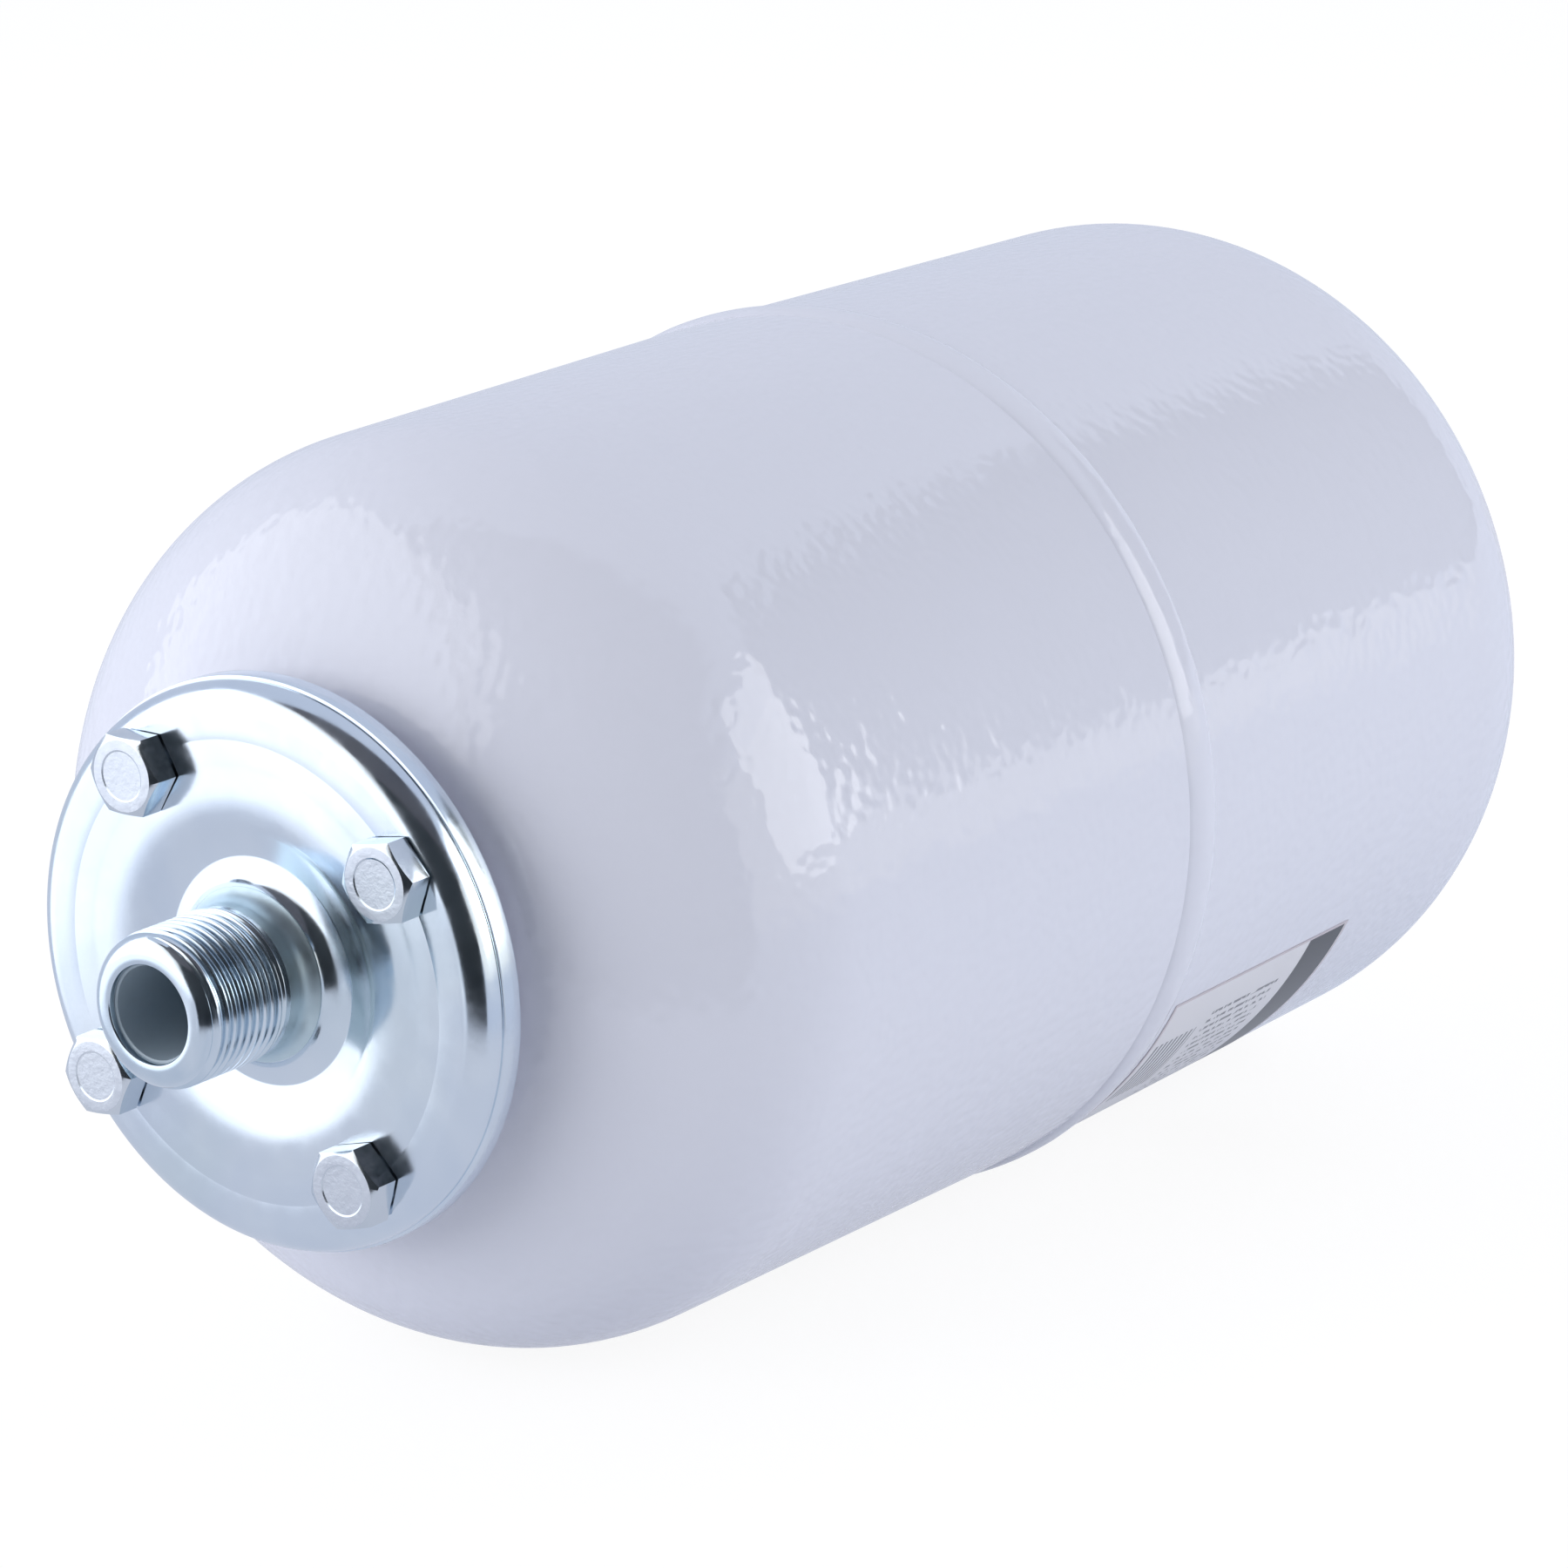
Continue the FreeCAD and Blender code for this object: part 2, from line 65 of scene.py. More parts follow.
def line_of_points(name, outline, closed):
    """Starts a piece as a drawn line: a plane shrunk to one point, extruded from station to station."""
    bpy.ops.object.select_all(action="DESELECT")
    x, r = outline[0]
    bpy.ops.mesh.primitive_plane_add(size=mm, location=(x * mm, r * mm, 0))
    piece = bpy.context.object
    piece.name = name
    piece.data.name = name
    bpy.ops.object.transform_apply(location=True, rotation=True, scale=True)
    bpy.ops.object.mode_set(mode="EDIT")
    bpy.ops.mesh.select_all(action="SELECT")
    bpy.ops.mesh.merge(type="CENTER")
    bpy.ops.mesh.select_mode(type="VERT")
    for a, b in zip(outline, outline[1:]):
        step = ((b[0] - a[0]) * mm, (b[1] - a[1]) * mm, 0)
        bpy.ops.mesh.extrude_region_move(TRANSFORM_OT_translate={"value": step})
    if closed:
        mesh = bmesh.from_edit_mesh(piece.data)
        for vertex in mesh.verts:
            vertex.select_set(len(vertex.link_edges) == 1)
        mesh.select_flush_mode()
        bmesh.update_edit_mesh(piece.data)
        bpy.ops.mesh.edge_face_add()
    return piece


def turned(name, outline, sides=96, closed=True, smooth=30):
    """A turned piece: its outline, in millimetres along the axis and out from it, spun about X."""
    piece = line_of_points(name, outline, closed)
    bpy.ops.mesh.select_all(action="SELECT")
    bpy.ops.mesh.spin(steps=sides, angle=2 * math.pi, center=(0, 0, 0), axis=(1, 0, 0))
    bpy.ops.mesh.select_all(action="SELECT")
    bpy.ops.mesh.remove_doubles(threshold=0.000002)
    bpy.ops.mesh.normals_make_consistent(inside=False)
    bpy.ops.object.mode_set(mode="OBJECT")
    bpy.ops.object.shade_smooth_by_angle(angle=math.radians(smooth))
    return piece


def add(tree, kind, inputs=(), **settings):
    """Adds a node to a tree. Each input is a plain value or the output that feeds it."""
    made = tree.nodes.new(kind)
    for key, value in settings.items():
        setattr(made, key, value)
    for key, value in dict(inputs).items():
        if isinstance(value, bpy.types.NodeSocket):
            tree.links.new(value, made.inputs[key])
        else:
            made.inputs[key].default_value = value
    return made


def feed(tree, end, **links):
    """Links outputs to the named inputs of a shader or of a group's end."""
    for key, socket in links.items():
        tree.links.new(socket, end.inputs[key.replace("_", " ")])


def new_group(name, inputs):
    """A shader node group that makes a surface. Gives the tree, its start and its end."""
    tree = bpy.data.node_groups.new(name, "ShaderNodeTree")
    for label, kind, value in inputs:
        tree.interface.new_socket(label, in_out="INPUT", socket_type=kind).default_value = value
    for label, kind in (("Color", "Color"), ("Roughness", "Float"), ("Normal", "Vector")):
        tree.interface.new_socket(label, in_out="OUTPUT", socket_type="NodeSocket" + kind)
    return tree, add(tree, "NodeGroupInput"), add(tree, "NodeGroupOutput")


def new_material(name):
    """A material with a Principled shader. Gives the material, its tree, the shader and the place."""
    material = bpy.data.materials.new(name)
    material.use_nodes = True
    tree = material.node_tree
    place = add(tree, "ShaderNodeTexCoord").outputs["Object"]
    return material, tree, tree.nodes["Principled BSDF"], place


def wrapped(name, group, inputs, stretch=None):
    """A material whose surface comes from a group, laid on by object coordinates."""
    material, tree, shader, place = new_material(name)
    if stretch:
        place = add(tree, "ShaderNodeMapping", {"Vector": place, "Scale": stretch}).outputs[0]
    skin = add(tree, "ShaderNodeGroup", {"Place": place, **inputs}, node_tree=group)
    feed(tree, shader, Base_Color=skin.outputs["Color"], Roughness=skin.outputs["Roughness"],
         Normal=skin.outputs["Normal"])
    return material, shader


def ramp(tree, value, start=0.0, end=1.0, low=0.0, high=1.0):
    """A value whose range from start to end becomes low to high."""
    return add(tree, "ShaderNodeMapRange", {0: value, 1: start, 2: end, 3: low, 4: high}).outputs[0]


def blend(tree, factor, a, b):
    """A colour between two, each an output or three numbers."""
    a, b = (value if isinstance(value, bpy.types.NodeSocket) else (*value, 1) for value in (a, b))
    return add(tree, "ShaderNodeMix", {0: factor, 6: a, 7: b}, data_type="RGBA").outputs[2]


def speckle(tree, place, size, detail=2.0, **more):
    """Noise with so many cells to the metre."""
    return add(tree, "ShaderNodeTexNoise", {"Vector": place, "Scale": size, "Detail": detail,
                                            **more}).outputs[0]


def bump(tree, height, strength, distance, **more):
    """The normal of a surface raised by a height."""
    return add(tree, "ShaderNodeBump", {"Strength": strength, "Distance": distance, "Height": height,
                                        **more}).outputs[0]


# The powder has the peel of the sprayed film, slower waves under it, and clouds in its colour and gloss.
coat, start, end = new_group(
    "Powder coat film",
    [("Place", "NodeSocketVector", (0, 0, 0)), ("White", "NodeSocketColor", (0.8, 0.8, 0.8, 1)),
     ("Shade", "NodeSocketColor", (0.7, 0.7, 0.7, 1)), ("Peel size", "NodeSocketFloat", 600),
     ("Peel depth", "NodeSocketFloat", 0.3)])
place = start.outputs["Place"]
cloud = speckle(coat, place, 9.0, 3.0)
peel = bump(coat, speckle(coat, place, start.outputs["Peel size"], 0.0), start.outputs["Peel depth"], 0.00017)
feed(coat, end, Color=blend(coat, cloud, start.outputs["White"], start.outputs["Shade"]),
     Roughness=ramp(coat, cloud, 0.3, 0.7, 0.04, 0.08),
     Normal=bump(coat, speckle(coat, place, 120.0, 0.0), 0.25, 0.0005, Normal=peel))


def white_coat(name, peel_size, peel_depth):
    """The white coat, with so many cells of peel to the metre."""
    return wrapped(name, coat, {"White": (0.725, 0.745, 0.845, 1), "Shade": (0.705, 0.725, 0.825, 1),
                                "Peel size": peel_size, "Peel depth": peel_depth})[0]


def cup_outline(side, hole, wall=1.2, depth=151.4, crown=115.0, knuckle=37.0):
    """The wall of one cup round its hole: out over crown and knuckle to the mouth, and back inside."""
    lean = math.hypot(1, draft)
    crown_x = crown - depth
    level = mouth_r - knuckle * lean
    a, b = 1 + draft ** 2, 2 * (level * draft - crown_x)
    c = crown_x ** 2 + level ** 2 - (crown - knuckle) ** 2
    knuckle_x = (-b - math.sqrt(b ** 2 - 4 * a * c)) / (2 * a)
    knuckle_r = level + draft * knuckle_x
    outer, inner = [], []
    for line, inset, steps in ((outer, 0, 24), (inner, wall, 10)):
        k, s = knuckle - inset, (crown - inset) / (crown - knuckle)
        top = (crown_x - math.sqrt((crown - inset) ** 2 - hole ** 2), hole)
        join = (crown_x + (knuckle_x - crown_x) * s, knuckle_r * s)
        tangent = (knuckle_x - k * draft / lean, knuckle_r + k / lean)
        lip_r = mouth_r - inset * lean
        line += ([top] + bend(top, join, (crown_x, 0), steps)
                 + bend(join, tangent, (knuckle_x, knuckle_r), steps)
                 + [(tangent[0] * (1 - i / 6), tangent[1] + (lip_r - tangent[1]) * i / 6)
                    for i in range(1, 7)])
    outer[-1] = (-0.7, mouth_r - 0.7 * draft)
    return [(seam_x - side * x, r) for x, r in outer + [(0, inner[-1][1] + 0.4)] + inner[::-1]]


coat_white = white_coat("White gloss powder coat", 420, 0.8)
for name, side, hole in (("front_shell", -1, 34.75), ("rear_shell", 1, 9.4)):
    shell = turned(name + "_drawn", cup_outline(side, hole), sides=180, smooth=40)
    shell.data.materials.append(coat_white)
    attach(shell, "vessel")
    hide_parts(name)


# Girth weld: one automatic bead laid round the two mouths and coated over with the cups.
# The powder softens it to a low band, with lumps where the arc wandered.
half_width, crest = 4.2, 0.95
bead = []
for i in range(21):
    across = i / 10 - 1
    skin_r = mouth_r - half_width * abs(across) * draft - 0.02
    bead.append((seam_x + half_width * across, skin_r + crest * (1 - across ** 2) ** 0.8))
root = [(seam_x + 0.7, mouth_r - 0.05), (seam_x, mouth_r - 0.8), (seam_x - 0.7, mouth_r - 0.05)]
weld = turned("girth_weld_bead", bead + root, sides=360, smooth=60)
for vertex in weld.data.vertices:
    x, y, z = vertex.co
    r = math.hypot(y, z)
    if r < (mouth_r + 0.05) * mm:
        continue
    rise = (r / mm - mouth_r) / crest
    lump = (noise.noise(Vector((x * 90, y * 55, z * 55))) * 0.22
            + noise.noise(Vector((x * 300, y * 210, z * 210))) * 0.1)
    slip = noise.noise(Vector((3.1, y * 30, z * 30))) * 0.5 * mm
    lift = min(lump * rise * mm, 0)
    vertex.co = (x + slip * rise, y * (1 + lift / r), z * (1 + lift / r))
weld.data.materials.append(white_coat("White coat over the weld", 380, 0.6))
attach(weld, "vessel")
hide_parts("girth_weld")


# Ring behind the cover: turned steel, welded in the front cup and coated with it.
# Its four tapped holes take the bolts. The fillet weld inside the cup stays bare.
def dress(names, surface):
    """Gives carried CAD nodes a material of the scene."""
    for part in names:
        nodes[part].data.materials.clear()
        nodes[part].data.materials.append(surface)


dress(["counter_flange"], coat_white)
weld_steel, tree, shader, place = new_material("Bare weld steel")
marks = speckle(tree, place, 300.0, 4.0)
feed(tree, shader, Base_Color=blend(tree, marks, (0.25, 0.24, 0.23), (0.42, 0.41, 0.40)),
     Roughness=ramp(tree, marks, low=0.35, high=0.6), Normal=bump(tree, marks, 0.3, 0.0003))
shader.inputs["Metallic"].default_value = 1
dress(["ring_weld"], weld_steel)


# Flange cover: pressed from 2 mm steel as a shallow dish round the nipple, with a rolled skirt.
# It is bright zinc plated: blue-white, a little milky, with fine rub marks and faint coloured patches.
# A thin tooling ring runs round the bolting face, and the skirt shows the line of its second draw.
def maths(tree, operation, a, b=0.5):
    """One sum or comparison."""
    return add(tree, "ShaderNodeMath", {0: a, 1: b}, operation=operation).outputs[0]


zinc, start, end = new_group(
    "Bright zinc plating",
    [("Place", "NodeSocketVector", (0, 0, 0)), ("Pale", "NodeSocketColor", (0.8, 0.9, 0.95, 1)),
     ("Deep", "NodeSocketColor", (0.6, 0.7, 0.8, 1)), ("Polish", "NodeSocketFloat", 0.16),
     ("Rub size", "NodeSocketFloat", 300), ("Rub depth", "NodeSocketFloat", 0.1)])
place = start.outputs["Place"]
patches = ramp(zinc, speckle(zinc, place, 38.0, 3.0, Distortion=0.6), 0.35, 0.65)
sheen = ramp(zinc, speckle(zinc, place, 17.0), 0.55, 0.75, 0.0, 0.35)
grain = speckle(zinc, place, start.outputs["Rub size"], 3.0, Roughness=0.6)
rubbed = bump(zinc, grain, start.outputs["Rub depth"], 0.00004)
tint = blend(zinc, patches, start.outputs["Pale"], start.outputs["Deep"])
feed(zinc, end, Color=blend(zinc, sheen, tint, (0.74, 0.86, 0.80)),
     Roughness=maths(zinc, "ADD", start.outputs["Polish"], ramp(zinc, grain, 0.3, 0.7, -0.05, 0.07)),
     Normal=bump(zinc, speckle(zinc, place, 2600.0), 0.06, 0.00002, Normal=rubbed))


def zinc_finish(name, pale, deep, polish, rub_size, rub_depth, stretch=(1, 1, 1)):
    """Zinc plating whose grain may be drawn out along an axis."""
    material, shader = wrapped(name, zinc, {"Pale": (*pale, 1), "Deep": (*deep, 1), "Polish": polish,
                                            "Rub size": rub_size, "Rub depth": rub_depth}, stretch)
    shader.inputs["Metallic"].default_value = 1
    return material


def off(point, way, slope):
    """The station set off from a point of the sheet, square to its slope, towards the front."""
    return (point[0] - way * math.cos(math.radians(slope)), point[1] + way * math.sin(math.radians(slope)))


# The dish from the nipple's land outwards, as bends of a radius up to a slope in degrees: a steep foot,
# the apron, a sharp fold, the long rise, the shoulder and a slight crown. Radius 0 is a straight run.
face, sheet, hole_r = 5.8, 2.0, 12.45
land_x, land_r, run = 5.73, 14.9, 2
rim, rim_r, skirt_r, inner_r, skirt_end = (10.6, 43.6), 48.4, 48.9, 46.4, face + 9.3
bends = [(3.3, 20), (13, 9), (1.2, -10), (18.9, -25), (-7, -11), (-24.6, 3.5), (0, 3.5), (20, 0)]
point, slope, front, back = (land_x, land_r), 65, [(land_x, land_r)], []
for radius, last in bends:
    if radius:
        hub = off(point, radius, slope)
        after = off(hub, -radius, last)
        front += bend(point, after, hub, 12)
        back += bend(off(point, -sheet, slope), off(after, -sheet, last), hub, 6)
    else:
        after = (point[0] + run * math.tan(math.radians(slope)), point[1] + run)
        front.append(after)
        back.append(off(after, -sheet, slope))
    point, slope = after, last
tooling_ring = [(face, 39.25), (face + 0.02, 39.35), (face, 39.45), (face, 41.5)]
draw_line = [(face + 5.0, rim_r), (face + 5.1, 48.3), (face + 5.2, 48.3), (face + 5.35, 48.85),
             (face + 5.6, skirt_r)]
front = ([(land_x, hole_r)] + front + tooling_ring + [(face, rim[1])]
         + bend((face, rim[1]), (rim[0], rim_r), rim, 18) + draw_line + [(skirt_end - 0.5, skirt_r)]
         + bend((skirt_end - 0.5, skirt_r), (skirt_end, rim_r), (skirt_end - 0.5, rim_r), 5))
back = ([(skirt_end, inner_r), (rim[0], inner_r)] + bend((rim[0], inner_r), (face + sheet, rim[1]), rim, 6)
        + [p for p in back if p[0] > land_x + sheet][::-1]
        + [(land_x + sheet, 14.0), (land_x + sheet, hole_r)])
cover = turned("flange_cover_pressed", front + back, sides=192, smooth=35)
cover.data.materials.append(
    zinc_finish("Zinc on the pressed cover", (0.76, 0.83, 0.89), (0.68, 0.76, 0.85), 0.17, 220, 0.12))
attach(cover, "vessel")
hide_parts("flange_cover")


# Connection nipple: turned steel with a G 3/4 pipe thread, a rounded nose and a duller neck.
# Its collar sits on the cover's land and its end is staked over behind. Zinc plated after turning.
# The thread is one pitch of the true form, screwed along the axis and cut off square at both ends.
touch = 0.000004


def threaded(name, pitch, crest_r, depth, start_x, end_x, steps=72):
    """A screwed skin from start_x to end_x with crests and roots rounded, open at both ends."""
    form = []
    for i in range(12):
        t = i / 12
        ridge = 0.5 - 0.5 * math.cos(2 * math.pi * t)
        ridge = min(max((ridge - 0.5) * 1.45 + 0.5, 0.0), 1.0)
        form.append((start_x - 1.5 * pitch + pitch * t, crest_r - depth * (1 - ridge)))
    form.append((form[0][0] + pitch, form[0][1]))
    piece = line_of_points(name, form, closed=False)
    bpy.ops.object.mode_set(mode="OBJECT")
    screw = piece.modifiers.new("Thread", "SCREW")
    screw.axis = "X"
    screw.steps = steps
    screw.render_steps = steps
    screw.angle = 2 * math.pi
    screw.screw_offset = pitch * mm
    screw.iterations = math.ceil((end_x - start_x) / pitch) + 3
    screw.use_merge_vertices = True
    screw.merge_threshold = touch
    bpy.ops.object.modifier_apply(modifier="Thread")
    bpy.ops.object.mode_set(mode="EDIT")
    for cut_x, outer, inner in ((start_x, False, True), (end_x, True, False)):
        bpy.ops.mesh.select_all(action="SELECT")
        bpy.ops.mesh.bisect(plane_co=(cut_x * mm, 0, 0), plane_no=(1, 0, 0), threshold=0.000001,
                            clear_inner=inner, clear_outer=outer)
    bpy.ops.mesh.select_all(action="SELECT")
    bpy.ops.mesh.remove_doubles(threshold=touch)
    return piece


def extend(piece, edge_x, stations):
    """Carries the open edge at one end of a skin on through further stations (x, r)."""
    bpy.ops.mesh.select_mode(type="EDGE")
    bpy.ops.mesh.select_all(action="DESELECT")
    mesh = bmesh.from_edit_mesh(piece.data)
    for edge in mesh.edges:
        if edge.is_boundary and all(abs(v.co.x - edge_x * mm) < 0.00001 for v in edge.verts):
            edge.select_set(True)
    bmesh.update_edit_mesh(piece.data)
    for x, r in stations:
        bpy.ops.mesh.extrude_edges_move()
        mesh = bmesh.from_edit_mesh(piece.data)
        for vertex in mesh.verts:
            if vertex.select:
                out = math.hypot(vertex.co.y, vertex.co.z)
                vertex.co = (x * mm, vertex.co.y * r * mm / out, vertex.co.z * r * mm / out)
        bmesh.update_edit_mesh(piece.data)


thread_start, thread_end = -17.6, -0.2
neck_r, collar_r, collar_edge, fillet, bore_r, staked_r = 12.9, 14.85, 0.15, 3.7, 9.2, 13.6
nose_hub, nose_round = (-15.7, 9.42), 3.8
nose_x = nose_hub[0] - nose_round
nipple = threaded("connection_nipple_turned", 1.8143, 13.22, 1.16, thread_start, thread_end)
mesh = bmesh.from_edit_mesh(nipple.data)
for vertex in mesh.verts:
    x, out = vertex.co.x / mm, math.hypot(vertex.co.y, vertex.co.z) / mm
    nose = nose_hub[1] + math.sqrt(max(nose_round ** 2 - min(x - nose_hub[0], 0) ** 2, 0))
    fade = min(max((x + 2.2) / 1.8, 0), 1)
    wanted = min(out + (neck_r - out) * fade, nose)
    vertex.co.y *= wanted / out
    vertex.co.z *= wanted / out
bmesh.update_edit_mesh(nipple.data)
nose_start = (thread_start, nose_hub[1] + math.sqrt(nose_round ** 2 - (nose_hub[0] - thread_start) ** 2))
mouth = [(nose_x, 8.7), (-19.4, 8.45), (-19.2, 8.35), (-18.3, 8.35), (-18.3, bore_r), (9.2, bore_r)]
extend(nipple, thread_start, bend(nose_start, (nose_x, nose_hub[1]), nose_hub, 8) + mouth)
collar_x = land_x - collar_edge
fillet_x = collar_x - math.sqrt(fillet ** 2 - (neck_r + fillet - collar_r) ** 2)
extend(nipple, thread_end,
       [(0.4, neck_r), (fillet_x, neck_r)]
       + bend((fillet_x, neck_r), (collar_x, collar_r), (fillet_x, neck_r + fillet), 12)
       + [(land_x, collar_r), (land_x, 12.4), (land_x + sheet, 12.4), (land_x + sheet, staked_r),
          (land_x + 3.6, 12.8), (land_x + 3.6, bore_r)])
bpy.ops.mesh.select_all(action="DESELECT")
bpy.ops.mesh.select_non_manifold(extend=False)
bpy.ops.mesh.bridge_edge_loops()
bpy.ops.mesh.select_mode(type="VERT")
bpy.ops.mesh.select_all(action="SELECT")
bpy.ops.mesh.remove_doubles(threshold=touch)
bpy.ops.mesh.normals_make_consistent(inside=False)
bpy.ops.object.mode_set(mode="OBJECT")
bpy.ops.object.shade_smooth_by_angle(angle=math.radians(45))
nipple.data.materials.append(zinc_finish("Zinc on the turned nipple", (0.74, 0.82, 0.88), (0.60, 0.70, 0.79),
                                         0.14, 420, 0.2, stretch=(6, 1, 1)))
nipple.data.materials.append(zinc_finish("Satin zinc on the nipple's neck", (0.66, 0.78, 0.82),
                                         (0.56, 0.69, 0.76), 0.42, 420, 0.2))
for polygon in nipple.data.polygons:
    outwards = Vector((0, polygon.center.y, polygon.center.z))
    if polygon.center.x > 0.3 * mm and polygon.normal.dot(outwards) > 0:
        polygon.material_index = 1
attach(nipple, "vessel")
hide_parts("connection_nipple")


# Liner of the bore: a moulded plastic sleeve that keeps the water off the steel.
# It stops a little behind the mouth, and its flange turns over the nipple's inner end.
liner_start, liner_bore, liner_skin, flange_x, liner_end, flange_r = -18.2, 7.9, 9.1, 9.33, 10.83, 13.6
liner = turned("port_liner_moulded",
               [(liner_start, 8.2), (-18.0, liner_bore), (liner_end, liner_bore), (liner_end, flange_r),
                (flange_x, flange_r), (flange_x, liner_skin), (-18.0, liner_skin), (liner_start, 8.9)])
slate, tree, shader, place = new_material("Slate plastic")
mottle = speckle(tree, place, 500.0, 3.0)
feed(tree, shader, Base_Color=blend(tree, mottle, (0.34, 0.42, 0.49), (0.38, 0.46, 0.53)),
     Roughness=ramp(tree, mottle, low=0.25, high=0.4))
liner.data.materials.append(slate)
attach(liner, "vessel")
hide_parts("port_liner")


# Bladder and the rubber rings: moulded black rubber, matte with a dusting of talc.
# The bladder is hidden in the vessel. The rings lie under the valve's shoulder, in its core and in the cap.
rubber, tree, shader, place = new_material("Black rubber")
talc = speckle(tree, place, 120.0, 5.0)
feed(tree, shader, Base_Color=blend(tree, talc, (0.012, 0.012, 0.013), (0.03, 0.03, 0.032)),
     Roughness=ramp(tree, talc, low=0.55, high=0.8),
     Normal=bump(tree, speckle(tree, place, 1500.0), 0.2, 0.0001))
dress(["bladder", "valve_seal", "core_seal", "poppet_seal", "cap_seal"], rubber)


# Flange bolts: four M8 hex bolts, cold forged and zinc plated, screwed into the ring behind the cover.
# The head has a 30 degree chamfer, a shallow dish in its top and a round washer face under its corners.
# Its top is duller than its sides from the forging die.
bolt_zinc = zinc_finish("Zinc on the bolts", (0.76, 0.81, 0.85), (0.62, 0.68, 0.74), 0.15, 500, 0.25)
bolt_top = zinc_finish("Dull zinc on the bolt heads", (0.70, 0.74, 0.79), (0.62, 0.66, 0.72), 0.36, 900, 2.5)
flats, head_x, washer_x, chamfer_r, dish = 13, 0.5, 5.45, 6.17, 0.12
corner_r = flats / math.sqrt(3)


def hex_bolt(name, turn):
    """One bolt on the axis: a six-sided head cut back by a cone, with a round shank behind it."""
    bpy.ops.object.select_all(action="DESELECT")
    height = washer_x - head_x
    bpy.ops.mesh.primitive_cylinder_add(vertices=6, radius=corner_r * mm, depth=height * mm,
                                        location=((washer_x - height / 2) * mm, 0, 0),
                                        rotation=(0, math.pi / 2, 0))
    bolt = bpy.context.object
    bolt.name = name
    bolt.data.name = name
    bpy.ops.object.transform_apply(location=True, rotation=True, scale=True)
    corner = bolt.data.vertices[0].co
    bolt.data.transform(Matrix.Rotation(math.radians(turn) - math.atan2(corner.z, corner.y), 4, "X"))
    reach = head_x + (corner_r - chamfer_r) * math.tan(math.radians(30))
    cone = turned("head_cone",
                  [(head_x + dish, 0), (head_x + dish, 4.1), (head_x, 4.4), (head_x, 6.05),
                   (head_x + 0.06, chamfer_r), (reach, corner_r), (reach + 0.1, 9.0), (7.0, 9.0), (7.0, 0)],
                  sides=72, closed=False)
    cut = bolt.modifiers.new("Chamfer", "BOOLEAN")
    cut.operation = "INTERSECT"
    cut.object = cone
    cut.solver = "EXACT"
    bpy.ops.object.select_all(action="DESELECT")
    bolt.select_set(True)
    bpy.context.view_layer.objects.active = bolt
    bpy.ops.object.modifier_apply(modifier="Chamfer")
    bpy.data.objects.remove(cone)
    soften = bolt.modifiers.new("Forged edges", "BEVEL")
    soften.width = 0.12 * mm
    soften.segments = 2
    soften.limit_method = "ANGLE"
    soften.angle_limit = math.radians(25)
    bpy.ops.object.modifier_apply(modifier="Forged edges")
    turned("shank", [(5.3, 0), (5.3, 6.1), (face, 6.1), (face, 4.0), (17.2, 4.0), (17.8, 3.4), (17.8, 0)],
           sides=32, closed=False)
    bolt.select_set(True)
    bpy.context.view_layer.objects.active = bolt
    bpy.ops.object.join()
    bpy.ops.object.shade_smooth_by_angle(angle=math.radians(20))
    return bolt


bolt_circle, first_bolt = 38.4, 54.7
for i, turn in enumerate((0.5, 49.6, 45.5, 54.3)):
    angle = math.radians(first_bolt + 90 * i)
    bolt = hex_bolt(f"flange_bolt_{i + 1}", turn)
    seat = (0, bolt_circle * mm * math.cos(angle), bolt_circle * mm * math.sin(angle))
    bolt.data.transform(Matrix.Translation(seat))
    bolt.data.materials.append(bolt_zinc)
    bolt.data.materials.append(bolt_top)
    for polygon in bolt.data.polygons:
        polygon.material_index = 1 if polygon.normal.x < -0.98 and polygon.center.x < 1 * mm else 0
    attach(bolt, "vessel")
    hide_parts("flange_bolts")


# Gas valve: a brass stem with a hex shoulder, screwed through the coated boss on the rear cup.
# The screwed core with its pin and spring sits in its outer end. The spring shortens as the pin is pressed in
# the real valve; here it keeps its shape and is given a mesh of its own.
dress(["valve_boss"], coat_white)
brass, tree, shader, place = new_material("Turned brass")
tarnish = speckle(tree, place, 160.0, 3.0)
lathe = add(tree, "ShaderNodeMapping", {"Vector": place, "Scale": (40, 4, 4)}).outputs[0]
rings = speckle(tree, lathe, 90.0, 3.0)
feed(tree, shader, Base_Color=blend(tree, tarnish, (0.78, 0.58, 0.26), (0.66, 0.47, 0.2)),
     Roughness=ramp(tree, rings, low=0.18, high=0.36), Normal=bump(tree, rings, 0.15, 0.00005))
shader.inputs["Metallic"].default_value = 1
dress(["valve_stem", "core_body", "core_pin"], brass)
wire, tree, shader, place = new_material("Spring wire")
drawn = speckle(tree, place, 1800.0)
feed(tree, shader, Base_Color=blend(tree, drawn, (0.55, 0.55, 0.57), (0.7, 0.7, 0.72)),
     Roughness=ramp(tree, drawn, low=0.2, high=0.35))
shader.inputs["Metallic"].default_value = 1
dress(["core_spring"], wire)
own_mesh(nodes["core_spring"])


